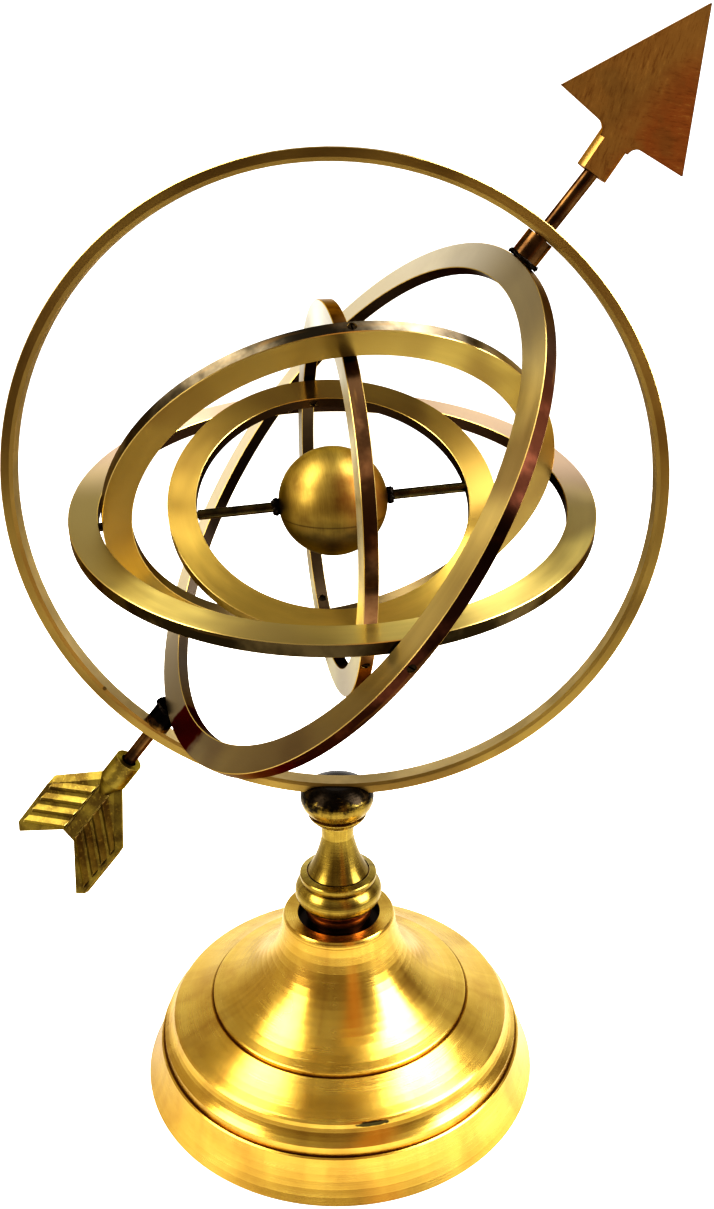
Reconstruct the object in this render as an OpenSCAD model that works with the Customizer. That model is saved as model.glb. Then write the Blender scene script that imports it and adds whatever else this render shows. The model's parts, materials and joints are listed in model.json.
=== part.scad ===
// Armillary sphere with an arrow axis: six nested brass rings, each hung
// inside the one before it, with a ball on a rod at their common centre.
// Millimetres. +Z is up, the arrow lies across the X-Z plane, and the origin
// is on the table under the middle of the base.

/* [Rings] */
// Outer diameter of the fixed outer hoop
hoop_d = 250; // [240:1:260]
// Width of the hoop band, front to back
hoop_w = 8; // [7:0.5:9]
// Thickness of the hoop band, outside to inside
hoop_t = 4.7; // [4:0.1:5.2]
// Outer diameter of the largest turning ring
ring_2_d = 220; // [216:1:222]
// Loss of radius from one turning ring to the next
ring_step = 12; // [11:0.5:12.5]
// Free space between one turning ring and the next
ring_gap = 1.3; // [1:0.1:2]
// Width of every turning ring along its own axis
ring_w = 5; // [4.5:0.1:6]
// Worn corner left on the edges of the turning rings
ring_corner = 0.25; // [0.1:0.05:0.5]

/* [Resting pose] */
// Tilt of the arrow above the level
axis_tilt = 52.4; // [40:0.1:65]
// Turn of ring 2 about the arrow
turn_2 = -71; // [-180:1:180]
// Turn of ring 3 inside ring 2
turn_3 = 51.5; // [-180:0.5:180]
// Turn of ring 4 inside ring 3
turn_4 = -112; // [-180:1:180]
// Turn of ring 5 inside ring 4
turn_5 = -87; // [-180:1:180]
// Turn of ring 6 inside ring 5
turn_6 = 87; // [-180:1:180]
// Turn of the arrowhead's flat face about the arrow
turn_head = 6; // [-90:1:90]
// Lean of the arrowhead to one side of its rod
head_lean = 4; // [0:0.5:5]
// Turn of the feathered tail about the arrow
turn_tail = -25; // [-90:1:90]

/* [Ball and arrow] */
// Diameter of the centre ball
ball_d = 41.4; // [36:0.2:44]
// Diameter of the rod through the ball
ball_rod_d = 3.8; // [3.2:0.1:4.4]
// Diameter of the two arrow rods
arrow_rod_d = 5.2; // [4.4:0.1:5.6]
// Diameter of the spacer sleeves on the arrow rods
sleeve_d = 10.4; // [9:0.1:11]
// Distance from the centre to the point of the arrow
arrow_tip_s = 208; // [200:0.2:215]
// Distance from the centre to the mouth of the arrowhead socket
head_mouth_s = 146.4; // [142:0.2:148]
// Distance from the centre to the mouth of the tail socket
tail_mouth_s = 141.4; // [138:0.2:144]

/* [Stand] */
// Height above the table at which the hoop rests in the knob
hoop_seat_h = 137; // [135:0.5:139]
// Diameter of the base where it meets the table
base_d = 172.6; // [170:0.2:180]
// Wall of the hollow base
base_wall = 1.6; // [1.2:0.1:2.4]
// Diameter of the threaded tie rod that clamps the stand together
tie_d = 6; // [5:0.5:8]

/* [Part shown] */
// Sub-part to draw, or all of them

/* [Hidden] */
$fn = 96;

eps = 0.02;            // overlap of a cutting tool past the face it cuts
run_fit = 0.05;        // radial clearance where one piece turns on another
seat_fit = 0.02;       // radial clearance where two pieces are fixed together
touch_gap = 0.02;      // air left between two pieces that rest on each other

brass = [0.72, 0.55, 0.24];
gold = [0.83, 0.66, 0.25];
bronze = [0.45, 0.32, 0.16];
dark = [0.16, 0.13, 0.10];
steel = [0.55, 0.55, 0.56];
felt = [0.10, 0.20, 0.13];

// ---- Rings -------------------------------------------------------------
hoop_r = hoop_d / 2;
hoop_in_r = hoop_r - hoop_t;
centre_h = hoop_seat_h + hoop_r;
hoop_bevel = 1.4;      // bevel on the hoop's inner corners, along the radius
hoop_bevel_w = 0.5;    // the same bevel, along the hoop's width
ring_t = ring_step - ring_gap;
ring_turns = [0, 0, turn_2, turn_3, turn_4, turn_5, turn_6];

// Outer radius of turning ring k, 2 to 6.
function ring_r(k) = ring_2_d / 2 - (k - 2) * ring_step;
// Inner radius of turning ring k.
function ring_in_r(k) = ring_r(k) - ring_t;

// ---- Pivot screws ------------------------------------------------------
pivot_r = 1.6;
pivot_sink = 0.4;      // depth of the screw head below the ring's outer face
pivot_short = 0.8;     // how far the tip stops short of the inner ring's bore
slot_w = 0.6;
slot_deep = 0.9;

// ---- Arrow -------------------------------------------------------------
arrow_rod_r = arrow_rod_d / 2;
arrow_tenon_r = 1.6;   // thinned end of an arrow rod, held in ring 2
arrow_tenon_len = 8;
sleeve_r = sleeve_d / 2;
sleeve_gap = 0.3;      // end play between a sleeve and the hoop
braze_h = 1.6;
braze_w = 0.9;
socket_r = 5.8;
socket_mouth_r = 3.3;
socket_mouth_deep = 3;
socket_hold = 12;      // length of arrow rod inside a socket
socket_spare = 0.5;    // air beyond the end of the rod
head_back_s = 160.5;
head_corner_s = 162.3;
head_half_span = 26;
head_fillet = 3.5;
head_fillet_s = 3;     // length of the fillet along the socket
head_face = 4;         // distance of the one flat front face from the axis
head_t = 2.2;          // thickness of the flat blade
socket_end_s = 173;    // where the back of the socket has run into the blade
tail_neck_s = 153;
tail_neck_len = 9;     // length of the taper from the socket into the wings
tail_root_r = 5.2;     // where the wings spring from the neck
tail_lead_s = 172.5;
tail_end_s = 204;
tail_notch_s = 187;
tail_half_span = 21.6;
tail_trim = 3;         // corner taken off the outer end of a wing
tail_half_t = 1.6;
tail_spine = 3.4;      // half width of the plain strip down the middle
tail_bevel_w = 3;      // bevel along the leading edge of a wing
tail_edge_half_t = 0.5;
tail_rail_h = 0.35;    // raised line on each side of the plain strip
tail_rail_w = 0.6;
tail_rail_back = 3;    // how far the rails start before the end of the neck
tail_rib_count = 4;
tail_rib_s = 163;      // where the first rib leaves the plain strip
tail_rib_pitch = 7;    // from one rib to the next, along the arrow
tail_rib_lean = 51;    // angle between a rib and the arrow
tail_rib_h = 1.4;
tail_rib_w = 4;
tail_border = 2;       // plain border left at the ends of the ribs

// ---- Ball --------------------------------------------------------------
ball_tenon_r = 1.3;    // thinned ends of the ball rod, turning in ring 6
ball_tenon_len = 8;
ball_end_play = 0.3;   // air between the rod's shoulder and the bore of ring 6
ball_braze_w = 1.3;
ball_braze_len = 2.4;  // how far the braze runs out along the rod
ball_braze_dip = 0.7;  // how far the outline of the braze falls in
ball_braze_dip_s = 1.1;
ball_braze_air = 0.05; // air between the braze and the ball
ball_braze_lip = 0.15; // thickness of the braze at its outer edge

// ---- Stand: heights above the table ------------------------------------
base_r = base_d / 2;
drum_top_h = 18.2;
drum_top_r = base_r - 7;
lip_2_r = drum_top_r - 1.2;
lip_2_h = 22.4;
ridge_r = 73.4;
ridge_h = 29.9;
foot_r = 57.2;
foot_h = 36.8;
lip_1_r = 55.8;
lip_1_h = 38.5;
cone_top_r = 23.4;
cone_top_h = 77.3;
well_r = 17.6;
well_h = 73.6;
tie_r = tie_d / 2;
tie_hole_r = tie_r + 0.25;
collar_r = 14.2;
collar_foot_r = 12.4;
collar_edge_h = 76.8;  // underside of the collar's wide part
bead_low_h = 82.8;
bead_top_h = 93.8;
bead_end_r = 15.8;
bead_r = 18.8;
disc_r = 16.4;
disc_h = 97.3;
neck_foot_r = 13;
neck_foot_h = 98.1;
neck_waist_r = 6.8;
neck_waist_h = 115.5;
neck_top_r = 7.1;
knob_low_h = 121.4;
saucer_r = 12.3;
saucer_h = 126.3;
knob_groove_r = 11.3;
knob_cup_r = 12.1;
knob_r = 15.4;
knob_wide_h = 134.3;
knob_flat_r = 6;
knob_top_h = 140.8;
tie_top_h = 130;
nut_across = 10;
nut_h = 5;
washer_r = 11;
washer_h = 1.6;
tie_tail = 3;          // thread left showing below the nut
plate_t = 3.5;         // top plate of the base, under the well
pad_low_h = 0.3;
pad_t = 2;

// ---- Curves ------------------------------------------------------------

// Points of a circular arc from a to b. bow is how far the arc swells to the
// right of the straight line from a to b.
function bowed(a, b, bow, steps) =
  let (chord = norm(b - a), mid = (a + b) / 2, along = (b - a) / chord)
  let (side = [along[1], -along[0]], radius = (chord * chord / 4 + bow * bow) / (2 * abs(bow)))
  let (hub = mid - sign(bow) * side * (radius - abs(bow)), half = asin(chord / 2 / radius))
  [for (i = [0 : steps])
    let (t = -half + 2 * half * i / steps)
    hub + radius * (sign(bow) * side * cos(t) + along * sin(t))];

// Points of a quarter ellipse from the side point to the top of a dome.
function dome(side_pt, top_pt, steps) =
  [for (i = [0 : steps])
    let (a = 90 * i / steps)
    [top_pt[0] + (side_pt[0] - top_pt[0]) * cos(a), side_pt[1] + (top_pt[1] - side_pt[1]) * sin(a)]];

// ---- Frames ------------------------------------------------------------

// Frame of the arrow: X along the arrow, the hoop in the X-Y plane.
module arrow_frame() {
  translate([0, 0, centre_h])
    rotate([0, -axis_tilt, 0])
      rotate([90, 0, 0])
        children();
}

// Frame of turning ring k: X is the pivot it hangs on, Y the pivot it
// carries, Z its own axis.
module ring_frame(k) {
  if (k == 2)
    arrow_frame()
      rotate([turn_2, 0, 0])
        children();
  else
    ring_frame(k - 1)
      rotate([0, ring_turns[k], 0])
        rotate([0, 0, 90])
          children();
}

// Both ends of a pivot line: children drawn along +X and again along -X.
module both_ends() {
  for (turn = [0, 180])
    rotate([0, 0, turn])
      children();
}

// Round bar along X from x0 to x1.
module bar(x0, x1, r) {
  translate([x0, 0, 0])
    rotate([0, 90, 0])
      cylinder(h = x1 - x0, r = r);
}

// ---- Rings -------------------------------------------------------------

// Plain ring with slightly worn corners, lying in the X-Y plane.
module plain_ring(r_out, r_in, width, corner) {
  half = width / 2;
  rotate_extrude($fn = 180)
    polygon([
      [r_in + corner, -half], [r_out - corner, -half],
      [r_out, -half + corner], [r_out, half - corner],
      [r_out - corner, half], [r_in + corner, half],
      [r_in, half - corner], [r_in, -half + corner]
    ]);
}

// Turning ring k with the holes for the pivots it hangs on and carries.
module turning_ring(k) {
  hang_r = k == 2 ? arrow_tenon_r + seat_fit : pivot_r + run_fit;
  hang_from = k == 2 ? ring_r(2) - arrow_tenon_len - 1 : ring_in_r(k) - 1;
  carry_r = k == 6 ? ball_tenon_r + run_fit : pivot_r + seat_fit;
  ring_frame(k)
    difference() {
      plain_ring(ring_r(k), ring_in_r(k), ring_w, ring_corner);
      both_ends()
        bar(hang_from, ring_r(k) + 1, hang_r);
      rotate([0, 0, 90])
        both_ends()
          bar(ring_in_r(k) - 1, ring_r(k) + 1, carry_r);
    }
}

module outer_hoop() {
  color(brass)
    arrow_frame()
      difference() {
        hoop_band();
        both_ends()
          bar(hoop_in_r - 1, hoop_r + 1, arrow_rod_r + run_fit);
      }
}

// The hoop's flat band, its inner corners bevelled front and back.
module hoop_band() {
  half = hoop_w / 2;
  rotate_extrude($fn = 180)
    polygon([
      [hoop_in_r + hoop_bevel, -half], [hoop_r - ring_corner, -half],
      [hoop_r, -half + ring_corner], [hoop_r, half - ring_corner],
      [hoop_r - ring_corner, half], [hoop_in_r + hoop_bevel, half],
      [hoop_in_r, half - hoop_bevel_w], [hoop_in_r, -half + hoop_bevel_w]
    ]);
}

module ring_2() {
  color(brass)
    turning_ring(2);
}

module ring_3() {
  color(brass)
    turning_ring(3);
}

module ring_4() {
  color(brass)
    turning_ring(4);
}

module ring_5() {
  color(brass)
    turning_ring(5);
}

module ring_6() {
  color(brass)
    turning_ring(6);
}

// ---- Pivots ------------------------------------------------------------

// The two slotted pivot screws held in ring k, on which ring k + 1 turns.
module pivot_pair(k) {
  head_x = ring_r(k) - pivot_sink;
  tip_x = ring_in_r(k + 1) + pivot_short;
  color(dark)
    ring_frame(k)
      rotate([0, 0, 90])
        both_ends()
          difference() {
            bar(tip_x, head_x, pivot_r);
            translate([head_x - slot_deep, -slot_w / 2, -pivot_r - 1])
              cube([slot_deep + 1, slot_w, 2 * pivot_r + 2]);
          }
}

module pivots_2_3() {
  pivot_pair(2);
}

module pivots_3_4() {
  pivot_pair(3);
}

module pivots_4_5() {
  pivot_pair(4);
}

module pivots_5_6() {
  pivot_pair(5);
}

// ---- Arrow -------------------------------------------------------------

// Arrow rod along +X: thin tenon in ring 2, full size out to x1.
module arrow_rod(x1) {
  bar(ring_r(2) - arrow_tenon_len, ring_r(2) + touch_gap + eps, arrow_tenon_r);
  bar(ring_r(2) + touch_gap, x1, arrow_rod_r);
}

// Spacer sleeve around an arrow rod, between ring 2 and the hoop.
module arrow_sleeve() {
  difference() {
    bar(ring_r(2) + touch_gap, hoop_in_r - sleeve_gap, sleeve_r);
    bar(ring_r(2) - 1, hoop_in_r + 1, arrow_rod_r + seat_fit);
  }
}

// Ring of braze round the foot of a sleeve.
module braze_ring() {
  foot_x = ring_r(2) + touch_gap;
  rotate([0, 90, 0])
    rotate_extrude()
      polygon([
        [sleeve_r + touch_gap, foot_x],
        [sleeve_r + braze_w, foot_x],
        [sleeve_r + braze_w * 0.8, foot_x + braze_h * 0.4],
        [sleeve_r + touch_gap, foot_x + braze_h]
      ]);
}

module upper_rod() {
  color(bronze)
    arrow_frame()
      arrow_rod(head_mouth_s + socket_hold);
}

module lower_rod() {
  color(bronze)
    arrow_frame()
      rotate([0, 0, 180])
        arrow_rod(tail_mouth_s + socket_hold);
}

module upper_sleeve() {
  color(bronze)
    arrow_frame()
      arrow_sleeve();
}

module lower_sleeve() {
  color(bronze)
    arrow_frame()
      rotate([0, 0, 180])
        arrow_sleeve();
}

module sleeve_braze() {
  color(dark)
    arrow_frame()
      both_ends()
        braze_ring();
}

// Socket bore from mouth_x along +X: a wide mouth, then the rod's own size.
module socket_bore(mouth_x) {
  bar(mouth_x - 1, mouth_x + socket_mouth_deep, socket_mouth_r);
  bar(mouth_x, mouth_x + socket_hold + socket_spare, arrow_rod_r + seat_fit);
}

// Outline of the flat blade: swept barbs with a small fillet at the socket.
module head_outline() {
  fillet_s = head_back_s - head_fillet_s;
  polygon(concat(
    [[arrow_tip_s, 0], [head_corner_s, head_half_span]],
    bowed([head_back_s + 0.5, socket_r + head_fillet], [fillet_s, socket_r], -1, 5),
    bowed([fillet_s, -socket_r], [head_back_s + 0.5, -socket_r - head_fillet], -1, 5),
    [[head_corner_s, -head_half_span]]
  ));
}

// Side view of the socket: level with the blade in front, and running up to
// the back of the blade behind.
module socket_side() {
  polygon([
    [head_mouth_s, -socket_r], [head_back_s - head_fillet_s, -socket_r],
    [socket_end_s, head_face - head_t], [socket_end_s, head_face],
    [head_mouth_s, head_face]
  ]);
}

// Blade and socket in one piece, the socket not yet drilled.
module head_body() {
  translate([0, 0, head_face - head_t])
    linear_extrude(head_t)
      head_outline();
  intersection() {
    bar(head_mouth_s, socket_end_s, socket_r);
    rotate([90, 0, 0])
      linear_extrude(3 * socket_r, center = true)
        socket_side();
  }
}

// The arrowhead sits a little crooked: its body leans about the middle of the
// socket's mouth, while the bore runs straight along the arrow.
module arrow_head() {
  color(bronze)
    arrow_frame()
      rotate([turn_head, 0, 0])
        difference() {
          translate([head_mouth_s, 0, 0])
            rotate([0, 0, head_lean])
              translate([-head_mouth_s, 0, 0])
                head_body();
          socket_bore(head_mouth_s);
        }
}

// Outline of one half of the tail, on the +Y side of the arrow.
module wing_outline() {
  polygon([
    [tail_neck_s - 1, 0], [tail_neck_s, tail_root_r],
    [tail_lead_s, tail_half_span], [tail_end_s - tail_trim, tail_half_span],
    [tail_end_s, tail_half_span - tail_trim], [tail_notch_s, tail_spine],
    [tail_notch_s, 0]
  ]);
}

// The part of one wing that carries ribs: the outline without a plain border.
module ribbed_outline() {
  far = tail_half_span - tail_border;
  lead_slope = (tail_lead_s - tail_neck_s) / (tail_half_span - socket_r);
  lead = tail_bevel_w * norm([1, lead_slope]);
  polygon([
    [tail_neck_s + lead, tail_spine], [tail_lead_s + lead - lead_slope * tail_border, far],
    [tail_end_s - tail_trim - tail_border, far],
    [tail_notch_s - tail_border / 2, tail_spine]
  ]);
}

// Raised ribs with sharp crests, running out and back from the plain strip.
module wing_ribs() {
  for (i = [0 : tail_rib_count - 1])
    translate([tail_rib_s + tail_rib_pitch * i, tail_spine, 0])
      rotate([0, 0, tail_rib_lean])
        rotate([0, 90, 0])
          linear_extrude(4 * tail_half_span, center = true)
            polygon([
              [-tail_half_t - tail_rib_h, 0], [-tail_half_t, tail_rib_w / 2],
              [tail_half_t, tail_rib_w / 2], [tail_half_t + tail_rib_h, 0],
              [tail_half_t, -tail_rib_w / 2], [-tail_half_t, -tail_rib_w / 2]
            ]);
}

// What the bevel takes off the upper face along the leading edge of a wing.
module lead_bevel() {
  size = 3 * tail_half_span;
  edge = [tail_lead_s - tail_neck_s, tail_half_span - tail_root_r];
  translate([tail_neck_s, tail_root_r, tail_edge_half_t])
    rotate([0, 0, atan2(edge[1], edge[0])])
      rotate([-atan2(tail_half_t - tail_edge_half_t, tail_bevel_w), 0, 0])
        translate([-size / 2, -size / 2, 0])
          cube([size, size, size]);
}

// One wing: a plate bevelled along its leading edge, with ribs and a raised
// line beside the plain strip.
module wing() {
  rib_top = tail_half_t + tail_rib_h;
  rail_top = tail_half_t + tail_rail_h;
  rail_s = tail_neck_s + tail_neck_len - tail_rail_back;
  difference() {
    linear_extrude(2 * tail_half_t, center = true)
      wing_outline();
    lead_bevel();
    mirror([0, 0, 1])
      lead_bevel();
  }
  intersection() {
    wing_ribs();
    linear_extrude(2 * rib_top + 1, center = true)
      ribbed_outline();
  }
  translate([rail_s, tail_spine - tail_rail_w, -rail_top])
    cube([tail_notch_s - tail_border - rail_s, tail_rail_w, 2 * rail_top]);
}

module arrow_tail() {
  color(gold)
    arrow_frame()
      rotate([turn_tail, 0, 0])
        rotate([0, 0, 180])
          difference() {
            union() {
              bar(tail_mouth_s, tail_neck_s, socket_r);
              tail_neck();
              wing();
              mirror([0, 1, 0])
                wing();
            }
            socket_bore(tail_mouth_s);
          }
}

// Taper from the round tail socket down to the flat of the wings.
module tail_neck() {
  translate([tail_neck_s - eps, 0, 0])
    rotate([0, 90, 0])
      cylinder(h = tail_neck_len, r1 = socket_r, r2 = tail_half_t);
}

// ---- Ball --------------------------------------------------------------

module ball() {
  color(gold)
    ring_frame(6)
      difference() {
        sphere(d = ball_d);
        rotate([0, 0, 90])
          bar(-ball_d, ball_d, ball_rod_d / 2 + seat_fit);
      }
}

// One rod through the ball, thinned at both ends to turn in ring 6.
module ball_rod() {
  shoulder = ring_in_r(6) - ball_end_play;
  color(bronze)
    ring_frame(6)
      rotate([0, 0, 90]) {
        bar(-shoulder, shoulder, ball_rod_d / 2);
        both_ends()
          bar(shoulder - eps, shoulder + ball_tenon_len, ball_tenon_r);
      }
}

// Fillets of braze where the rod leaves the ball.
module ball_braze() {
  inner = ball_rod_d / 2 + touch_gap;
  outer = ball_rod_d / 2 + ball_braze_w;
  foot = sqrt(ball_d * ball_d / 4 - outer * outer) + ball_braze_air;
  color(dark)
    ring_frame(6)
      rotate([0, 0, 90])
        both_ends()
          rotate([0, 90, 0])
            rotate_extrude()
              polygon([
                [inner, ball_d / 2], [outer, foot + ball_braze_lip],
                [outer - ball_braze_dip, foot + ball_braze_dip_s], [inner, foot + ball_braze_len]
              ]);
}

// ---- Stand -------------------------------------------------------------

// Outside of the hollow base, from the table up to the edge of the well.
function base_outside() = concat(
  [[base_r - 0.6, 0]],
  bowed([base_r, 0.8], [drum_top_r + 0.7, drum_top_h - 0.4], -0.6, 6),
  [[drum_top_r, drum_top_h], [lip_2_r + 0.3, drum_top_h - 0.3], [lip_2_r + 0.2, lip_2_h - 0.4]],
  bowed([lip_2_r - 0.3, lip_2_h], [ridge_r + 0.3, ridge_h - 0.6], -0.7, 5),
  [[ridge_r - 0.5, ridge_h]],
  bowed([ridge_r - 1.2, ridge_h + 0.3], [foot_r, foot_h], -0.5, 5),
  [[lip_1_r + 0.3, foot_h - 0.4], [lip_1_r + 0.2, lip_1_h - 0.3]],
  bowed([lip_1_r - 0.4, lip_1_h], [cone_top_r + 1.1, cone_top_h - 3], -7.6, 14),
  bowed([cone_top_r + 1, cone_top_h - 2.6], [cone_top_r, cone_top_h], 0.3, 4),
  [[well_r + 0.3, cone_top_h - 0.6], [well_r, cone_top_h - 1]]
);

// Inside of the hollow base, from the top plate down to the table.
function base_inside() = concat(
  [[tie_hole_r, well_h - plate_t]],
  bowed([cone_top_r - base_wall + 1, well_h - plate_t],
        [lip_1_r - base_wall, lip_1_h - base_wall - 2.2], 6.6, 10),
  [[ridge_r - base_wall, ridge_h - base_wall - 1.2], [lip_2_r - base_wall, lip_2_h - base_wall],
   [lip_2_r - base_wall, drum_top_h - base_wall], [base_r - base_wall, 0.8],
   [base_r - base_wall - 0.4, 0]]
);

module base_shell() {
  color(gold)
    rotate_extrude($fn = 180)
      polygon(concat(
        base_outside(),
        [[well_r, well_h], [tie_hole_r, well_h]],
        base_inside()
      ));
}

// Felt disc that closes the underside, a little above the table.
module base_pad() {
  color(felt)
    translate([0, 0, pad_low_h])
      cylinder(h = pad_t, r = base_r - base_wall - 1.5);
}

// Turned piece of the stem, drilled for the tie rod.
module drilled(profile, low_h, top_h) {
  difference() {
    rotate_extrude()
      polygon(profile);
    translate([0, 0, low_h - 1])
      cylinder(h = top_h - low_h + 2, r = tie_hole_r);
  }
}

// Dark turned collar that stands in the well of the base on a narrower foot.
module stem_collar() {
  low = well_h + touch_gap;
  top = bead_low_h - touch_gap;
  color(bronze)
    drilled([[0, low], [collar_foot_r, low], [collar_foot_r, collar_edge_h],
             [collar_r - 0.5, collar_edge_h], [collar_r, collar_edge_h + 0.5],
             [collar_r, top - 3], [collar_r - 1.2, top - 2.4], [collar_r - 1.2, top], [0, top]],
            low, top);
}

module stem_bead() {
  color(brass)
    drilled(concat(
      [[0, bead_low_h], [bead_end_r - 1, bead_low_h]],
      bowed([bead_end_r, bead_low_h + 0.3], [disc_r - 0.2, bead_top_h - 0.5],
            bead_r - (bead_end_r + disc_r) / 2, 14),
      [[disc_r - 1.1, bead_top_h], [0, bead_top_h]]
    ), bead_low_h, bead_top_h);
}

// Trumpet-shaped neck on a wide disc, with a fine groove where they meet.
module stem_neck() {
  low = bead_top_h + touch_gap;
  top = knob_low_h - touch_gap;
  color(brass)
    drilled(concat(
      [[0, low], [disc_r - 0.8, low]],
      bowed([disc_r - 0.4, low + 0.5], [disc_r, disc_h - 0.4], 0.2, 4),
      [[disc_r - 0.4, disc_h], [neck_foot_r + 0.5, neck_foot_h - 0.2],
       [neck_foot_r + 0.3, neck_foot_h - 0.8], [neck_foot_r, neck_foot_h - 0.8]],
      bowed([neck_foot_r, neck_foot_h], [neck_waist_r, neck_waist_h], -0.9, 12),
      [[neck_top_r, top], [0, top]]
    ), low, top);
}

// Knob at the top of the stem, slotted to hold the bottom of the hoop.
module stem_knob() {
  color(brass)
    difference() {
      rotate_extrude()
        polygon(concat(
          [[0, knob_low_h], [neck_top_r, knob_low_h]],
          bowed([neck_top_r + 0.3, knob_low_h + 0.4], [saucer_r, saucer_h - 0.4], 0.6, 8),
          [[saucer_r, saucer_h], [knob_groove_r, saucer_h + 0.6]],
          bowed([knob_cup_r, saucer_h + 1.2], [knob_r, knob_wide_h - 0.5], 0.8, 8),
          dome([knob_r, knob_wide_h], [knob_flat_r, knob_top_h], 10),
          [[0, knob_top_h]]
        ));
      translate([0, hoop_w / 2 + seat_fit, centre_h])
        rotate([90, 0, 0])
          cylinder(h = hoop_w + 2 * seat_fit, r = hoop_r + seat_fit, $fn = 180);
      translate([0, 0, knob_low_h - 1])
        cylinder(h = tie_top_h + 1 - knob_low_h + 1, r = tie_hole_r);
    }
}

// Threaded rod from below the base up into the knob.
module tie_rod() {
  low = well_h - plate_t - washer_h - nut_h - tie_tail;
  color(steel)
    translate([0, 0, low])
      cylinder(h = tie_top_h - low, r = tie_r);
}

module tie_washer() {
  top = well_h - plate_t - touch_gap;
  color(steel)
    difference() {
      translate([0, 0, top - washer_h])
        cylinder(h = washer_h, r = washer_r);
      translate([0, 0, top - washer_h - 1])
        cylinder(h = washer_h + 2, r = tie_hole_r);
    }
}

module tie_nut() {
  top = well_h - plate_t - washer_h - 2 * touch_gap;
  color(steel)
    difference() {
      translate([0, 0, top - nut_h])
        linear_extrude(nut_h)
          circle(d = nut_across / cos(30), $fn = 6);
      translate([0, 0, top - nut_h - 1])
        cylinder(h = nut_h + 2, r = tie_r + seat_fit);
    }
}

// ---- Drawing -----------------------------------------------------------
base_shell();
base_pad();
stem_collar();
stem_bead();
stem_neck();
stem_knob();
tie_rod();
tie_washer();
tie_nut();
outer_hoop();
ring_2();
ring_3();
ring_4();
ring_5();
ring_6();
pivots_2_3();
pivots_3_4();
pivots_4_5();
pivots_5_6();
upper_rod();
lower_rod();
upper_sleeve();
lower_sleeve();
sleeve_braze();
arrow_head();
arrow_tail();
ball();
ball_rod();
ball_braze();
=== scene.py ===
import json
import math

import bmesh
import bpy
from mathutils import Matrix, Vector, noise


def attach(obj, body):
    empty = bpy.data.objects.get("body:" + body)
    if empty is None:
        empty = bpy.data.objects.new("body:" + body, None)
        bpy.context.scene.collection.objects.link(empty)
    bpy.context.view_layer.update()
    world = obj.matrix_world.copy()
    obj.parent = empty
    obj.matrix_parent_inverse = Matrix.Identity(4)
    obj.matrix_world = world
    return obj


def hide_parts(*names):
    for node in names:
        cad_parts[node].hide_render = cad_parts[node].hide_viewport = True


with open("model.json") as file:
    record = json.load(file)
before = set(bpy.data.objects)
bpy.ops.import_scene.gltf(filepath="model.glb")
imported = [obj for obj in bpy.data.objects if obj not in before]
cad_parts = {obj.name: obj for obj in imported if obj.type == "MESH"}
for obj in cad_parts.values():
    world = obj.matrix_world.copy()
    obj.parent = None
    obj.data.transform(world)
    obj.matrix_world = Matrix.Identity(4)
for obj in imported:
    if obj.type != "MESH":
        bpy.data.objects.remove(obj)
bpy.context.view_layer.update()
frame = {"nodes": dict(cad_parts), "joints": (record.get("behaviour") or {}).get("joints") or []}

MM = 0.001
UP = Vector((0, 0, 1))
FRONT = Vector((0, -1, 0))
JOINTS = {joint["name"]: joint for joint in frame["joints"]}
CENTRE = Vector(JOINTS["arrow_turn"]["pos_m"])


def joint_axis(name):
    """Direction of a joint's own axis at rest."""
    return Vector(JOINTS[name]["axis"]).normalized()


ARROW = joint_axis("arrow_turn")
BALL_ROD = joint_axis("ball_turn")
PIVOT_LINES = [joint_axis(name) for name in
               ("arrow_turn", "ring_3_turn", "ring_4_turn", "ring_5_turn", "ring_6_turn", "ball_turn")]

# A ring's own axis stands square to the pivot line it hangs on and the one it carries.
RING_AXES = {f"ring_{number}": hangs_on.cross(carries).normalized()
             for number, (hangs_on, carries) in enumerate(zip(PIVOT_LINES, PIVOT_LINES[1:]), start=2)}


# ---- Material nodes ---------------------------------------------------------

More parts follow.
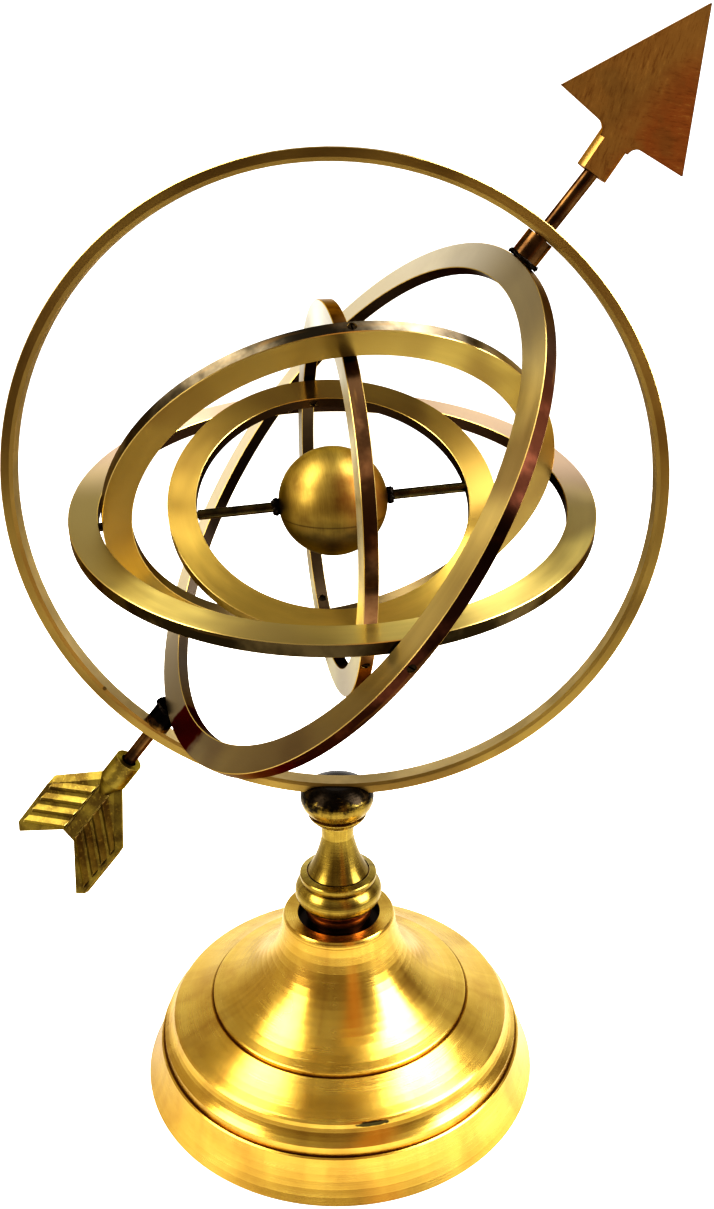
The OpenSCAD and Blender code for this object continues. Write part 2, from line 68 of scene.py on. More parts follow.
class Graph:
    """Builds the nodes of one material. A value is a number, a tuple or another node's output."""

    def __init__(self, name):
        self.material = bpy.data.materials.new(name)
        self.material.use_nodes = True
        self.tree = self.material.node_tree
        self.tree.nodes.clear()

    def node(self, kind, **settings):
        made = self.tree.nodes.new(kind)
        for key, value in settings.items():
            setattr(made, key, value)
        return made

    def feed(self, socket, value):
        if isinstance(value, bpy.types.NodeSocket):
            self.tree.links.new(value, socket)
        elif isinstance(value, Vector):
            socket.default_value = tuple(value)
        else:
            socket.default_value = value

    def calc(self, operation, a, b=0.0, clamp=False):
        made = self.node("ShaderNodeMath", operation=operation, use_clamp=clamp)
        self.feed(made.inputs[0], a)
        self.feed(made.inputs[1], b)
        return made.outputs[0]

    def vector(self, operation, a, b=(0.0, 0.0, 0.0)):
        made = self.node("ShaderNodeVectorMath", operation=operation)
        self.feed(made.inputs[0], a)
        if operation == "SCALE":
            self.feed(made.inputs["Scale"], b)
        else:
            self.feed(made.inputs[1], b)
        scalar = operation in ("DOT_PRODUCT", "LENGTH", "DISTANCE")
        return made.outputs["Value" if scalar else "Vector"]

    def ease(self, value, low, high):
        """0 below low, 1 above high, smooth between. With low above high it falls instead."""
        made = self.node("ShaderNodeMapRange", interpolation_type="SMOOTHSTEP")
        self.feed(made.inputs["Value"], value)
        made.inputs["From Min"].default_value = low
        made.inputs["From Max"].default_value = high
        return made.outputs["Result"]

    def spread(self, value, low, high):
        """Stretches a value from 0 to 1 so that it runs from low to high."""
        made = self.node("ShaderNodeMapRange")
        self.feed(made.inputs["Value"], value)
        made.inputs["To Min"].default_value = low
        made.inputs["To Max"].default_value = high
        return made.outputs["Result"]

    def noise(self, place, scale, detail=3.0, roughness=0.55):
        made = self.node("ShaderNodeTexNoise")
        self.feed(made.inputs["Vector"], place)
        made.inputs["Scale"].default_value = scale
        made.inputs["Detail"].default_value = detail
        made.inputs["Roughness"].default_value = roughness
        return made.outputs["Fac"]

    def mix(self, factor, a, b):
        made = self.node("ShaderNodeMix", data_type="RGBA")
        self.feed(made.inputs["Factor"], factor)
        self.feed(made.inputs["A"], with_alpha(a))
        self.feed(made.inputs["B"], with_alpha(b))
        return made.outputs["Result"]

    def stain(self, colour, where, share, tint):
        """Lays a tint over a colour. Where the mask is 1, the tint covers the given share of it."""
        return self.mix(self.calc("MULTIPLY", where, share), colour, tint)

    def bump(self, height, distance, strength=1.0):
        made = self.node("ShaderNodeBump")
        self.feed(made.inputs["Height"], height)
        made.inputs["Distance"].default_value = distance
        made.inputs["Strength"].default_value = strength
        return made.outputs["Normal"]

    def crevice(self, reach, inside=False):
        """How open the surface is within reach: low in a crevice or, if inside, low on a sharp edge."""
        made = self.node("ShaderNodeAmbientOcclusion", inside=inside, samples=6)
        made.inputs["Distance"].default_value = reach
        return made.outputs["AO"]

    def place(self):
        """Where a point lies, measured from the centre of the rings, as the model stands at rest."""
        return self.vector("SUBTRACT", self.node("ShaderNodeTexCoord").outputs["Object"], CENTRE)

    def facing(self):
        """The surface's own direction, as the model stands at rest."""
        return self.node("ShaderNodeTexCoord").outputs["Normal"]

    def in_world(self, direction):
        made = self.node("ShaderNodeVectorTransform", vector_type="VECTOR",
                         convert_from="OBJECT", convert_to="WORLD")
        self.feed(made.inputs["Vector"], direction)
        return made.outputs["Vector"]

    def metal(self, colour, roughness, normal=None, tangent=None, anisotropy=0.0,
              metallic=1.0, rim=(1, 1, 1)):
        """Ends the graph in one Principled surface. rim tints what the metal shows at a slant."""
        surface = self.node("ShaderNodeBsdfPrincipled")
        self.feed(surface.inputs["Base Color"], with_alpha(colour))
        self.feed(surface.inputs["Specular Tint"], with_alpha(rim))
        self.feed(surface.inputs["Roughness"], roughness)
        surface.inputs["Metallic"].default_value = metallic
        if normal is not None:
            self.feed(surface.inputs["Normal"], normal)
        if tangent is not None:
            self.feed(surface.inputs["Tangent"], tangent)
            surface.inputs["Anisotropic"].default_value = anisotropy
        output = self.node("ShaderNodeOutputMaterial")
        self.tree.links.new(surface.outputs["BSDF"], output.inputs["Surface"])
        return self.material


def with_alpha(colour):
    """A three-part colour made ready for a colour socket. Anything else is passed on."""
    if isinstance(colour, tuple) and len(colour) == 3:
        return (*colour, 1.0)
    return colour


def round_axis(graph, axis):
    """Distance from an axis through the centre, height along it, and the direction outwards from it."""
    place = graph.place()
    height = graph.vector("DOT_PRODUCT", place, axis)
    flat = graph.vector("SUBTRACT", place, graph.vector("SCALE", axis, height))
    return graph.vector("LENGTH", flat), height, graph.vector("NORMALIZE", flat)


def round_place(graph, axis, radius, height, outward, turns, fine):
    """A place that changes slowly around an axis and fast across it, as the marks of a lathe do."""
    across = graph.calc("MULTIPLY", graph.calc("ADD", radius, height), fine)
    return graph.vector("ADD", graph.vector("SCALE", outward, turns), graph.vector("SCALE", axis, across))


# ---- Metals -----------------------------------------------------------------

# Places on the object, measured from the centre of the rings.
WELL_R = 17.6 * MM                                     # the well in the top of the base
UNDER_WELL = -200 * MM                                 # a level a little below its floor
CHIP = Vector((15.8, -71.3, 28.8)) * MM - CENTRE       # on the ridge of the base
KNOB_SHADE = (-129.5 * MM, -125 * MM)                   # where the knob turns black with painted shade
SLEEVE_SOOT = (120 * MM, 117 * MM)                     # out along the arrow, where its soot begins
BURN = ((12 * MM, 15 * MM), (41 * MM, 34 * MM))        # start and end of the burn on ring 2
HEAD_TIP = (201 * MM, 187 * MM)                        # out along the arrow, where the red fades
BALL_SEAM = -4.5 * MM                                  # level of the seam of the ball
PUNCH = (ARROW * -117.7 - ARROW.cross(FRONT) * 26.1 + FRONT * 4) * MM    # on the front of the hoop

# Share of the highlight drawn out across the brushing.
SPUN_ANISOTROPY = 0.55
RING_ANISOTROPY = 0.85

# Tints of what a metal shows at a slant.
OUTER_RIM = (0.55, 0.41, 0.24)
BORE_RIM = (0.25, 0.2, 0.14)
BURNT_RIM = (0.35, 0.06, 0.03)
DARK_RIM = (0.3, 0.24, 0.16)


def shaded(colour, share):
    """A colour made darker, or lighter by a share above 1."""
    return tuple(share * part for part in colour)


def spun_brass(name, light, dark, tarnish, gloss, edge_wear_and_sheen, marks=()):
    """Brass turned about the upright axis: fine rings of brushing and tarnish; grooves darkened, partly
    patina and partly painted shade; edges brightened, partly wear and partly painted highlight.
    """
    graph = Graph(name)
    radius, height, outward = round_axis(graph, UP)
    streaks = graph.noise(round_place(graph, UP, radius, height, outward, 1.2, 2600), 1.0, 4.0)
    bands = graph.noise(round_place(graph, UP, radius, height, outward, 2.2, 160), 1.0, 3.0)
    wipes = graph.noise(round_place(graph, UP, radius, height, outward, 9.0, 14), 1.0, 4.0)
    clouds = graph.noise(graph.place(), 34.0, 4.0)
    spots = graph.noise(graph.place(), 160.0, 3.0, 0.7)
    crevice_patina_and_shade = graph.ease(graph.crevice(3.5 * MM), 0.72, 0.4)
    edge = graph.ease(graph.crevice(0.9 * MM, inside=True), 0.62, 0.38)
    tone = graph.calc("ADD", graph.spread(streaks, -0.18, 0.18), graph.spread(bands, -0.3, 0.75),
                      clamp=True)
    colour = graph.mix(tone, dark, light)
    colour = graph.stain(colour, graph.ease(wipes, 0.42, 0.68), 0.28, tarnish)
    colour = graph.stain(colour, graph.ease(clouds, 0.46, 0.7), 0.6, tarnish)
    colour = graph.stain(colour, graph.ease(spots, 0.66, 0.8), 0.35, tarnish)
    # Grooves and crevices darkened: partly patina, partly painted shade.
    colour = graph.stain(colour, crevice_patina_and_shade, 0.9, (0.13, 0.04, 0.01))
    # Edges brightened: partly wear, partly painted highlight.
    colour = graph.stain(colour, edge, edge_wear_and_sheen, (0.97, 0.82, 0.45))
    for add_mark in marks:
        colour = add_mark(graph, colour, radius, height)
    roughness = graph.calc("ADD", graph.spread(bands, gloss - 0.05, gloss + 0.08),
                           graph.spread(streaks, -0.05, 0.05))
    normal = graph.bump(streaks, 0.02 * MM, 0.5)
    return graph.metal(colour, roughness, normal, across_brushing(graph, UP, outward), SPUN_ANISOTROPY)


def well_shade(graph, colour, radius, height):
    """Painted shade: the inside of the well in the top of the base, painted near black."""
    inside = graph.calc("MULTIPLY", graph.ease(radius, WELL_R + 0.4 * MM, WELL_R - 0.1 * MM),
                        graph.ease(height, UNDER_WELL, UNDER_WELL + 5 * MM))
    return graph.mix(inside, colour, (0.012, 0.006, 0.003))


def chipped_ridge(graph, colour, radius, height):
    """A small dark chip in the ridge at the front of the base."""
    offset = graph.vector("SUBTRACT", graph.place(), CHIP)
    offset = graph.vector("MULTIPLY", offset, (0.19, 0.4, 1.5))
    ragged = graph.spread(graph.noise(graph.place(), 500.0), -0.7 * MM, 0.7 * MM)
    reach = graph.calc("ADD", graph.vector("LENGTH", offset), ragged)
    return graph.mix(graph.ease(reach, 1.6 * MM, 1.2 * MM), colour, (0.07, 0.06, 0.025))


def shaded_knob_top(graph, colour, radius, height):
    """Painted shade on the top of the knob under the hoop: near black, with ragged patches a little lower.
    """
    ragged = graph.spread(graph.noise(graph.place(), 230.0, 4.0, 0.65), -9 * MM, 9 * MM)
    black = graph.ease(graph.calc("ADD", height, ragged), *KNOB_SHADE)
    return graph.mix(black, colour, (0.02, 0.015, 0.01))


def across_brushing(graph, axis, outward):
    """The direction square to brushing that runs round an axis, in which its highlight is drawn out."""
    along = graph.in_world(graph.vector("CROSS_PRODUCT", axis, outward))
    return graph.vector("CROSS_PRODUCT", along, graph.node("ShaderNodeNewGeometry").outputs["Normal"])


def gold_brown(colour):
    """The same metal where it has browned: less green, and less bright."""
    return (colour[0], 0.93 * colour[1], 0.95 * colour[2])


def ring_brass(name, axis, face, outer, bore, marks=(), far=None):
    """Brushed brass ring: golden flat faces, browned outside, dark bore. far is a pale tint over the faces
    on the far side, partly the metal's own tone and partly painted reflection of a white surround.
    """
    graph = Graph(name)
    radius, height, outward = round_axis(graph, axis)
    facing = graph.facing()
    along = graph.calc("ABSOLUTE", graph.vector("DOT_PRODUCT", facing, axis))
    flat = graph.ease(along, 0.8, 0.95)
    chamfer_wear_and_sheen = graph.calc("MULTIPLY", graph.ease(along, 0.15, 0.4), graph.ease(along, 0.98, 0.85))
    inward = graph.ease(graph.vector("DOT_PRODUCT", facing, outward), 0.3, -0.3)
    streaks = graph.noise(round_place(graph, axis, radius, height, outward, 2.2, 2600), 1.0, 3.0)
    bands = graph.noise(round_place(graph, axis, radius, height, outward, 3.0, 300), 1.0, 2.0)
    clouds = graph.noise(graph.place(), 17.0, 2.0)
    swell = graph.noise(graph.place(), 9.0, 1.0)
    tarnish = graph.noise(graph.place(), 26.0, 5.0, 0.6)
    tone = graph.calc("ADD", graph.spread(streaks, -0.16, 0.16), bands, clamp=True)
    gold = graph.mix(tone, shaded(face, 0.75), face)
    gold = graph.mix(graph.ease(swell, 0.42, 0.58), shaded(gold_brown(face), 0.5), gold)
    gold = graph.stain(gold, graph.ease(clouds, 0.46, 0.66), 0.6, (0.13, 0.07, 0.024))
    # Faces on the far side paled: partly the metal's own tone, partly painted reflection of a white
    # surround.
    if far:
        nearness = graph.vector("DOT_PRODUCT", graph.place(), FRONT)
        gold = graph.stain(gold, graph.ease(nearness, 10 * MM, -35 * MM), 0.85, far)
    brown = graph.mix(graph.ease(tarnish, 0.4, 0.58), outer, shaded(outer, 0.22))
    brown = graph.stain(brown, graph.ease(bands, 0.6, 0.72), 0.25, (0.3, 0.17, 0.05))
    inner = graph.mix(graph.ease(tarnish, 0.3, 0.7), bore, shaded(bore, 1.6))
    colour = graph.mix(flat, graph.mix(inward, brown, inner), gold)
    for add_mark in marks:
        colour = add_mark(graph, colour)
    # Chamfers brightened: partly wear, partly painted highlight.
    colour = graph.stain(colour, chamfer_wear_and_sheen, graph.spread(clouds, 0.5, 1.0), (0.95, 0.74, 0.28))
    roughness = graph.calc("ADD", graph.spread(bands, 0.26, 0.37), graph.spread(streaks, -0.03, 0.03))
    bright = graph.ease(graph.vector("DOT_PRODUCT", colour, (0.33, 0.33, 0.33)), 0.02, 0.12)
    face_rim = graph.mix(bright, BURNT_RIM, (1, 1, 1))
    rim = graph.mix(flat, graph.mix(inward, OUTER_RIM, BORE_RIM), face_rim)
    return graph.metal(colour, roughness, graph.bump(streaks, 0.006 * MM, 0.5),
                       across_brushing(graph, axis, outward), RING_ANISOTROPY, rim=rim)


def heat_tint(graph, colour):
    """Grey-lilac left by brazing around both arrow rods, and one dark red burn beside the lower one."""
    place = graph.place()
    level = graph.vector("DOT_PRODUCT", place, ARROW)
    side = graph.vector("LENGTH", graph.vector("CROSS_PRODUCT", place, ARROW))
    reach = graph.calc("ADD", side, graph.spread(graph.noise(place, 60.0, 4.0), -16 * MM, 16 * MM))
    near = graph.calc("MULTIPLY", graph.ease(graph.calc("ABSOLUTE", level), 60 * MM, 90 * MM),
                      graph.ease(reach, 72 * MM, 26 * MM))
    lower = graph.ease(level, -60 * MM, -85 * MM)
    colour = graph.stain(colour, near, graph.spread(lower, 0.45, 0.7), (0.2, 0.165, 0.13))
    front = graph.calc("ADD", graph.vector("DOT_PRODUCT", place, FRONT),
                       graph.spread(graph.noise(place, 260.0, 3.0), -3 * MM, 3 * MM))
    start, end = BURN
    burn = graph.calc("MULTIPLY", graph.ease(front, *start), graph.ease(front, *end))
    return graph.stain(colour, graph.calc("MULTIPLY", burn, lower), 0.93, (0.09, 0.014, 0.008))


def punched_dot(graph, colour):
    """One small punch mark on the front of the hoop."""
    distance = graph.vector("DISTANCE", graph.place(), PUNCH)
    return graph.mix(graph.ease(distance, 1.1 * MM, 0.7 * MM), colour, (0.03, 0.02, 0.01))


def brushed_ball(name):
    """The ball's brass: brushed round its rod, browned to one side, with painted shade below, and a seam."""
    graph = Graph(name)
    radius, height, outward = round_axis(graph, BALL_ROD)
    place = graph.place()
    streaks = graph.noise(round_place(graph, BALL_ROD, radius, height, outward, 3.0, 2400), 1.0, 4.0)
    clouds = graph.noise(place, 70.0, 4.0)
    ragged = graph.spread(clouds, -7 * MM, 7 * MM)
    colour = graph.mix(graph.spread(streaks, -0.1, 1.1), (0.34, 0.235, 0.055), (0.56, 0.42, 0.11))
    colour = graph.stain(colour, graph.ease(clouds, 0.42, 0.7), 0.6, (0.14, 0.07, 0.018))
    side = graph.calc("ADD", graph.vector("DOT_PRODUCT", place, (1, 0, 0)), ragged)
    colour = graph.stain(colour, graph.ease(side, 0, 12 * MM), 0.6, (0.26, 0.1, 0.025))
    rise = graph.vector("DOT_PRODUCT", place, UP)
    # Painted shade: the lower part of the ball darkened nearly to black, with a ragged edge.
    shade_below = graph.ease(graph.calc("ADD", rise, ragged), -1 * MM, -11 * MM)
    colour = graph.stain(colour, shade_below, 0.92, (0.035, 0.024, 0.011))
    from_seam = graph.calc("ABSOLUTE", graph.calc("SUBTRACT", rise, BALL_SEAM))
    seam = graph.ease(from_seam, 0.5 * MM, 0.1 * MM)
    colour = graph.stain(colour, seam, graph.spread(clouds, 0.2, 0.9), (0.05, 0.03, 0.01))
    near_rod = graph.ease(graph.calc("ABSOLUTE", height), 16 * MM, 20 * MM)
    colour = graph.stain(colour, near_rod, 0.8, (0.04, 0.022, 0.01))
    roughness = graph.calc("ADD", graph.spread(clouds, 0.34, 0.48), graph.spread(streaks, -0.04, 0.04))
    return graph.metal(colour, roughness, graph.bump(streaks, 0.02 * MM, 0.4), rim=(0.6, 0.5, 0.3))


def stretched(graph, direction, share):
    """The place squeezed along one direction, so that noise on it is drawn out that way."""
    place = graph.place()
    taken = graph.calc("MULTIPLY", graph.vector("DOT_PRODUCT", place, direction), share)
    return graph.vector("SUBTRACT", place, graph.vector("SCALE", direction, taken))


def scratched_bronze(name, gold, red, directions):
    """Browned plate, redder to its right: short fine scratches that run one way above and another below."""
    graph = Graph(name)
    place = graph.place()
    first, second = (graph.noise(stretched(graph, run, 0.82), 950.0, 7.0, 0.75) for run in directions)
    clouds = graph.noise(place, 60.0, 5.0, 0.6)
    side = graph.vector("DOT_PRODUCT", place, ARROW.cross(FRONT))
    side = graph.calc("ADD", side, graph.spread(clouds, -20 * MM, 20 * MM))
    below_tip = graph.ease(graph.vector("DOT_PRODUCT", place, ARROW), *HEAD_TIP)
    scratches = graph.mix(graph.ease(side, -4 * MM, 6 * MM), first, second)
    edge = graph.ease(graph.crevice(0.6 * MM, inside=True), 0.66, 0.4)
    colour = graph.stain(gold, graph.ease(side, -3 * MM, 9 * MM), below_tip, red)
    colour = graph.stain(colour, graph.ease(scratches, 0.54, 0.7), 0.55, shaded(gold, 1.5))
    colour = graph.stain(colour, graph.ease(scratches, 0.5, 0.34), 0.45, shaded(red, 0.4))
    colour = graph.stain(colour, graph.ease(clouds, 0.5, 0.64), 0.4, shaded(gold, 0.6))
    colour = graph.mix(edge, colour, (0.03, 0.014, 0.006))
    roughness = graph.calc("ADD", graph.spread(clouds, 0.32, 0.45), graph.spread(scratches, -0.1, 0.1))
    return graph.metal(colour, roughness, graph.bump(scratches, 0.05 * MM, 0.6), rim=(0.5, 0.3, 0.15))


def cast_brass(name):
    """The tail's rough cast brass: olive gold, with a painted highlight on the crests and painted shade
    between them.
    """
    graph = Graph(name)
    place = graph.place()
    grain = graph.noise(place, 900.0, 4.0, 0.6)
    clouds = graph.noise(place, 110.0, 4.0)
    hollow_shade = graph.ease(graph.crevice(2.5 * MM), 0.9, 0.5)
    edge = graph.ease(graph.crevice(0.7 * MM, inside=True), 0.6, 0.36)
    colour = graph.mix(graph.ease(clouds, 0.35, 0.65), (0.3, 0.24, 0.055), (0.13, 0.09, 0.024))
    colour = graph.stain(colour, graph.ease(grain, 0.54, 0.68), 0.5, (0.5, 0.38, 0.08))
    # Painted shade in the hollows between the ribs.
    colour = graph.stain(colour, hollow_shade, 0.9, (0.03, 0.018, 0.006))
    # Painted highlight along the crests.
    colour = graph.stain(colour, edge, 0.9, (0.9, 0.74, 0.3))
    roughness = graph.spread(grain, 0.28, 0.5)
    return graph.metal(colour, roughness, graph.bump(grain, 0.16 * MM, 0.7), rim=(0.6, 0.5, 0.25))


def plain_metal(name, light, dark, gloss, scale, depth=0.05 * MM, rim=(1, 1, 1), marks=()):
    """Uneven metal with no brushing: rods, screws, braze and steel."""
    graph = Graph(name)
    place = graph.place()
    grain = graph.noise(place, scale * 6, 4.0, 0.6)
    clouds = graph.noise(place, scale, 4.0)
    edge = graph.ease(graph.crevice(0.5 * MM, inside=True), 0.6, 0.35)
    colour = graph.mix(graph.ease(clouds, 0.35, 0.68), light, dark)
    # Sharp edges made paler: partly wear, partly painted highlight.
    colour = graph.stain(colour, edge, 0.5, tuple(min(0.9, 2.6 * part) for part in light))
    for add_mark in marks:
        colour = add_mark(graph, colour)
    roughness = graph.spread(grain, gloss - 0.08, gloss + 0.12)
    return graph.metal(colour, roughness, graph.bump(grain, depth, 0.5), rim=rim)


def sooty_foot(graph, colour):
    """Soot on a sleeve, from its foot at the ring to about two thirds of its length."""
    height = graph.calc("ABSOLUTE", graph.vector("DOT_PRODUCT", graph.place(), ARROW))
    ragged = graph.spread(graph.noise(graph.place(), 300.0, 3.0), -4 * MM, 4 * MM)
    black = graph.ease(graph.calc("ADD", height, ragged), *SLEEVE_SOOT)
    return graph.mix(black, colour, (0.004, 0.003, 0.003))


def felt(name):
    graph = Graph(name)
    fibres = graph.noise(graph.place(), 2200.0, 4.0, 0.7)
    colour = graph.mix(fibres, (0.012, 0.035, 0.018), (0.03, 0.075, 0.04))
    return graph.metal(colour, graph.spread(fibres, 0.85, 1.0), graph.bump(fibres, 0.3 * MM), metallic=0.0)


def dress(node, material):
    """Gives a CAD node a material in place of its plain one."""
    for slot in frame["nodes"][node].material_slots:
        slot.material = material


dress("base_shell", spun_brass("base_spun_brass", (0.88, 0.68, 0.19), (0.64, 0.43, 0.085),
                               (0.46, 0.27, 0.06), 0.24, 0.85, (well_shade, chipped_ridge)))
stem_brass = spun_brass("stem_turned_brass", (0.68, 0.54, 0.13), (0.33, 0.24, 0.05), (0.09, 0.055, 0.017),
                        0.24, 0.85, (shaded_knob_top,))
for name in ("stem_bead", "stem_neck", "stem_knob"):
    dress(name, stem_brass)
dress("stem_collar", plain_metal("collar_bronze", (0.45, 0.19, 0.08), (0.2, 0.07, 0.03), 0.32, 90.0,
                                 rim=(0.4, 0.2, 0.12)))

dress("outer_hoop", ring_brass("hoop_brushed_brass", FRONT,
                               (0.57, 0.42, 0.13), (0.16, 0.1, 0.025), (0.42, 0.34, 0.19), (punched_dot,)))
# Colours of each ring: flat faces, outer face, bore, and a tint over the flat faces on the far side that is
# partly the metal's own tone and partly painted reflection of a white surround.
# Ring 5's pale cream faces are partly the metal's own colour and partly painted reflection of a white
# surround.
RING_FACES = {"ring_2": (0.55, 0.44, 0.175), "ring_3": (0.84, 0.7, 0.23), "ring_4": (0.62, 0.5, 0.15),
              "ring_5": (0.95, 0.9, 0.6), "ring_6": (0.69, 0.51, 0.13)}
RING_OUTERS = {"ring_2": (0.13, 0.05, 0.03), "ring_3": (0.14, 0.11, 0.055), "ring_4": (0.28, 0.24, 0.17),
               "ring_5": (0.35, 0.2, 0.1), "ring_6": (0.36, 0.27, 0.09)}
RING_BORES = {"ring_2": (0.025, 0.018, 0.013), "ring_3": (0.05, 0.03, 0.018), "ring_4": (0.16, 0.125, 0.065),
              "ring_5": (0.05, 0.035, 0.02), "ring_6": (0.035, 0.023, 0.013)}
FAR_SIDE_SHEENS = {"ring_2": (0.95, 0.88, 0.68), "ring_3": (0.98, 0.74, 0.55)}
for name, face in RING_FACES.items():
    marks = (heat_tint,) if name == "ring_2" else ()
    dress(name, ring_brass(f"{name}_brushed_brass", RING_AXES[name],
                           face, RING_OUTERS[name], RING_BORES[name], marks, FAR_SIDE_SHEENS.get(name)))

dress("ball", brushed_ball("ball_brushed_brass"))
rod_bronze = plain_metal("rod_bronze", (0.16, 0.09, 0.035), (0.05, 0.026, 0.012), 0.2, 130.0,
                         rim=(0.6, 0.4, 0.2))
for name in ("upper_rod", "lower_rod", "upper_sleeve"):
    dress(name, rod_bronze)
dress("ball_rod", plain_metal("rod_blackened", (0.1, 0.08, 0.032), (0.024, 0.019, 0.011), 0.2, 130.0,
                              rim=DARK_RIM))
dress("lower_sleeve", plain_metal("sleeve_sooty", (0.26, 0.16, 0.04), (0.1, 0.05, 0.02), 0.28, 130.0,
                                  rim=DARK_RIM, marks=(sooty_foot,)))
braze_black = plain_metal("braze_black", (0.022, 0.018, 0.015), (0.005, 0.004, 0.004), 0.3, 300.0, 0.1 * MM,
                          rim=DARK_RIM)
screw_dark = plain_metal("screw_dark", (0.05, 0.036, 0.02), (0.015, 0.011, 0.008), 0.32, 300.0, rim=DARK_RIM)
for name in ("pivots_2_3", "pivots_3_4", "pivots_4_5", "pivots_5_6"):
    dress(name, screw_dark)
steel = plain_metal("plain_steel", (0.55, 0.54, 0.52), (0.34, 0.33, 0.32), 0.3, 300.0)
for name in ("tie_rod", "tie_washer", "tie_nut"):
    dress(name, steel)
HEAD_SCRATCHES = (Vector((0.25, 0, 0.97)).normalized(), Vector((0.98, 0, -0.17)).normalized())
dress("arrow_head", scratched_bronze("head_browned_bronze", (0.36, 0.23, 0.075), (0.35, 0.15, 0.045),
                                     HEAD_SCRATCHES))
dress("arrow_tail", cast_brass("tail_cast_brass"))
dress("base_pad", felt("felt_green"))


# ---- Braze ------------------------------------------------------------------

BODY_OF = {"sleeve_braze": "ring_2_body", "ball_braze": "ball_body"}
DROP_SIZE = 0.75                                       # swelling of a drop, as a share of the ring's own
DEEPEST_DIP = -0.35                                    # how far the braze may fall in between drops


def measured(node, axis):
    """How far a CAD node reaches from the centre along one side of an axis, and out from it."""
    cad = frame["nodes"][node]
    places = [cad.matrix_world @ vertex.co - CENTRE for vertex in cad.data.vertices]
    heights = [place.dot(axis) for place in places if place.dot(axis) > 0]
    outs = [(place - axis * place.dot(axis)).length for place in places]
    return min(heights), max(heights), min(outs), max(outs)


def lumpy_ring(shape, centre, axis, inner, outer, length, lump):
    """Adds a ring of hardened drops around an axis, standing on the plane through centre."""
    around, across = 72, 14
    side = axis.orthogonal().normalized()
    front = axis.cross(side)
    rows = []
    for step in range(around):
        turn = 2 * math.pi * step / around
        out = side * math.cos(turn) + front * math.sin(turn)
        row = []
        for part in range(across):
            bend = 2 * math.pi * part / across
            base = centre + out * (inner + outer) / 2 + axis * length / 2
            swell = out * math.cos(bend) * (outer - inner) / 2 + axis * math.sin(bend) * length / 2
            drops = noise.noise((base + swell) / lump) + 0.5 * noise.noise((base + swell) * 2.2 / lump)
            row.append(shape.verts.new(base + swell * (1 + DROP_SIZE * max(DEEPEST_DIP, drops))))
        rows.append(row)
    for step, row in enumerate(rows):
        following = rows[(step + 1) % around]
        for part in range(across):
            after = (part + 1) % across
            shape.faces.new((row[part], following[part], following[after], row[after])).smooth = True


def braze(name, node, axis, lump):
    """The beads of braze at both ends of a rod, in place of the CAD's plain rings."""
    foot, top, inner, outer = measured(node, axis)
    shape = bmesh.new()
    for end in (axis, -axis):
        lumpy_ring(shape, CENTRE + end * foot, end, inner, outer, top - foot, lump)
    bmesh.ops.recalc_face_normals(shape, faces=shape.faces)
    mesh = bpy.data.meshes.new(name)
    shape.to_mesh(mesh)
    shape.free()
    piece = bpy.data.objects.new(name, mesh)
    bpy.context.scene.collection.objects.link(piece)
    mesh.materials.append(braze_black)
    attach(piece, BODY_OF[node])
    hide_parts(node)


braze("sleeve_braze_beads", "sleeve_braze", ARROW, 1.3 * MM)
braze("ball_braze_beads", "ball_braze", BALL_ROD, 1.0 * MM)


# ---- Floor, light and camera ------------------------------------------------

STREAK_AZIMUTH = 156                                   # where the warm band stands around the object
STREAK_HALF_WIDTH = 0.2
SENSOR_WIDTH = 36
LENS = 59.6
EYE = CENTRE + Vector((21.7, -429.6, 127.5)) * MM
AIM = CENTRE + Vector((8.8, 0, -42.1)) * MM
ROLL = math.radians(-0.354)


def make_floor():
    """A round pale floor, bright enough to the eye to run into the white around it."""
    mesh = bpy.data.meshes.new("floor")
    shape = bmesh.new()
    bmesh.ops.create_circle(shape, cap_ends=True, segments=96, radius=1.0)
    shape.to_mesh(mesh)
    shape.free()
    floor = bpy.data.objects.new("floor", mesh)
    bpy.context.scene.collection.objects.link(floor)
    graph = Graph("floor_white")
    surface = graph.node("ShaderNodeBsdfPrincipled")
    surface.inputs["Roughness"].default_value = 0.9
    surface.inputs["Emission Color"].default_value = (1, 1, 1, 1)
    seen = graph.node("ShaderNodeLightPath").outputs["Is Camera Ray"]
    distance = graph.vector("LENGTH", graph.node("ShaderNodeTexCoord").outputs["Object"])
    # To the metal the floor shows a painted pool of light, pale within 160 mm of the centre and dark past
    # 330 mm, and a faint painted glow. To the eye it glows evenly white.
    shade = graph.mix(graph.ease(distance, 160 * MM, 330 * MM), (0.72, 0.7, 0.66), (0.3, 0.28, 0.25))
    graph.feed(surface.inputs["Base Color"], graph.mix(seen, shade, (0.86, 0.86, 0.86)))
    graph.feed(surface.inputs["Emission Strength"], graph.spread(seen, 0.15, 1.0))
    output = graph.node("ShaderNodeOutputMaterial")
    graph.tree.links.new(surface.outputs["BSDF"], output.inputs["Surface"])
    mesh.materials.append(graph.material)


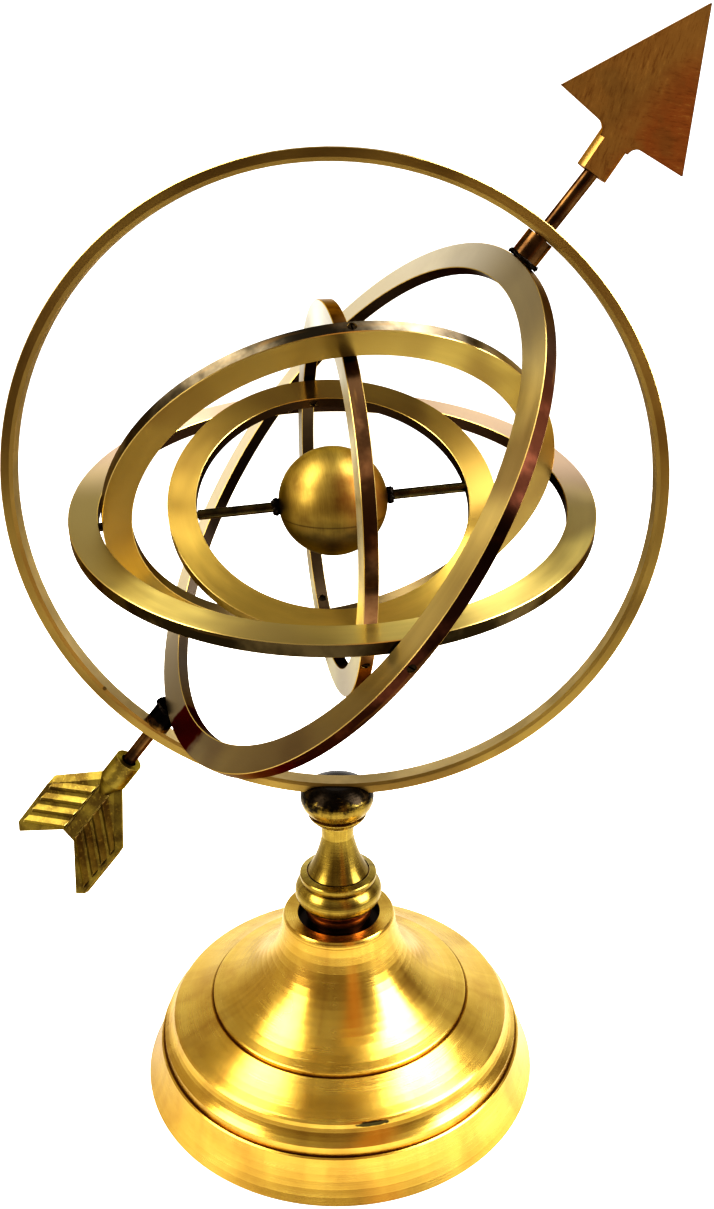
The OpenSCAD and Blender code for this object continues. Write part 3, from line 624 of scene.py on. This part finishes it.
def make_world():
    """White to the eye. To the metal: bright behind the object, grey overhead, dim and warm in front."""
    world = bpy.data.worlds.new("studio")
    bpy.context.scene.world = world
    world.use_nodes = True
    tree = world.node_tree
    tree.nodes.clear()
    split = tree.nodes.new("ShaderNodeSeparateXYZ")
    sky = tree.nodes.new("ShaderNodeTexCoord").outputs["Generated"]
    tree.links.new(sky, split.inputs["Vector"])

    def smooth(value, low, high):
        made = tree.nodes.new("ShaderNodeMapRange")
        made.interpolation_type = "SMOOTHSTEP"
        made.inputs["From Min"].default_value = low
        made.inputs["From Max"].default_value = high
        tree.links.new(value, made.inputs["Value"])
        return made.outputs["Result"]

    def ramp(part, low, high):
        return smooth(split.outputs[part], low, high)

    def calc(kind, operation, a, b):
        made = tree.nodes.new(kind)
        made.operation = operation
        tree.links.new(a, made.inputs[0])
        if isinstance(b, bpy.types.NodeSocket):
            tree.links.new(b, made.inputs[1])
        else:
            made.inputs[1].default_value = b
        return made.outputs["Value"]

    def band(azimuth, half_width):
        """1 in an upright band of the sky at one azimuth, 0 away from it."""
        ahead = calc("ShaderNodeVectorMath", "DOT_PRODUCT", sky, direction(azimuth, 0))
        aside = calc("ShaderNodeVectorMath", "DOT_PRODUCT", sky, direction(azimuth + 90, 0))
        aside = calc("ShaderNodeMath", "MULTIPLY", aside, aside)
        inside = smooth(aside, half_width ** 2, (half_width / 3) ** 2)
        return calc("ShaderNodeMath", "MULTIPLY", inside, smooth(ahead, 0.25, 0.5))

    def blend(factor, a, b):
        made = tree.nodes.new("ShaderNodeMix")
        made.data_type = "RGBA"
        tree.links.new(factor, made.inputs["Factor"])
        for socket, value in ((made.inputs["A"], a), (made.inputs["B"], b)):
            if isinstance(value, tuple):
                socket.default_value = (*value, 1)
            else:
                tree.links.new(value, socket)
        return made.outputs["Result"]

    lit = blend(ramp("Y", 0.35, 0.95), (0.2, 0.145, 0.09), (1.15, 1.15, 1.15))
    lit = blend(ramp("Z", 0.3, 0.8), lit, (0.42, 0.39, 0.35))
    lit = blend(ramp("X", -0.35, -0.95), lit, (0.5, 0.42, 0.3))
    lit = blend(band(STREAK_AZIMUTH, STREAK_HALF_WIDTH), lit, (0.55, 0.29, 0.13))
    lit = blend(tree.nodes.new("ShaderNodeLightPath").outputs["Is Camera Ray"], lit, (1.2, 1.2, 1.2))
    background = tree.nodes.new("ShaderNodeBackground")
    tree.links.new(lit, background.inputs["Color"])
    output = tree.nodes.new("ShaderNodeOutputWorld")
    tree.links.new(background.outputs["Background"], output.inputs["Surface"])


def direction(azimuth, elevation):
    """A direction from the centre. Azimuth 0 is straight behind the object and 90 is to its right."""
    turn, rise = math.radians(azimuth), math.radians(elevation)
    return Vector((math.sin(turn) * math.cos(rise), math.cos(turn) * math.cos(rise), math.sin(rise)))


def strip_light(name, upper, lower, distance, width, power, colour):
    """A long soft light that runs from one direction down to another and faces the centre."""
    top, foot = (CENTRE + direction(*end) * distance for end in (upper, lower))
    middle = (top + foot) / 2
    light = bpy.data.lights.new(name, "AREA")
    light.shape = "RECTANGLE"
    light.size = width
    light.size_y = (top - foot).length
    light.energy = power
    light.color = colour
    lamp = bpy.data.objects.new(name, light)
    bpy.context.scene.collection.objects.link(lamp)
    outward = (middle - CENTRE).normalized()
    along = (top - foot).normalized()
    sideways = along.cross(outward).normalized()
    facing = Matrix((sideways, outward.cross(sideways).normalized(), outward)).transposed()
    lamp.matrix_world = Matrix.Translation(middle) @ facing.to_4x4()


def make_camera():
    """Camera at the photograph's angle: a little above the rings and close, so that the base looks broad."""
    camera = bpy.data.cameras.new("camera")
    camera.sensor_fit = "HORIZONTAL"
    camera.sensor_width = SENSOR_WIDTH
    camera.lens = LENS
    camera.clip_start = 0.01
    camera.clip_end = 100
    eye = bpy.data.objects.new("camera", camera)
    bpy.context.scene.collection.objects.link(eye)
    turn = (AIM - EYE).to_track_quat("-Z", "Y").to_matrix().to_4x4()
    eye.matrix_world = Matrix.Translation(EYE) @ turn @ Matrix.Rotation(ROLL, 4, "Z")
    bpy.context.scene.camera = eye


make_floor()
make_world()
strip_light("right_strip", (55, 68), (110, 5), 1.3, 0.55, 26, (1.0, 0.98, 0.95))
strip_light("left_strip", (-60, 65), (-125, 10), 1.3, 0.5, 12, (1.0, 0.93, 0.8))
make_camera()
bpy.context.scene.view_settings.view_transform = "Standard"
bpy.context.scene.view_settings.look = "High Contrast"
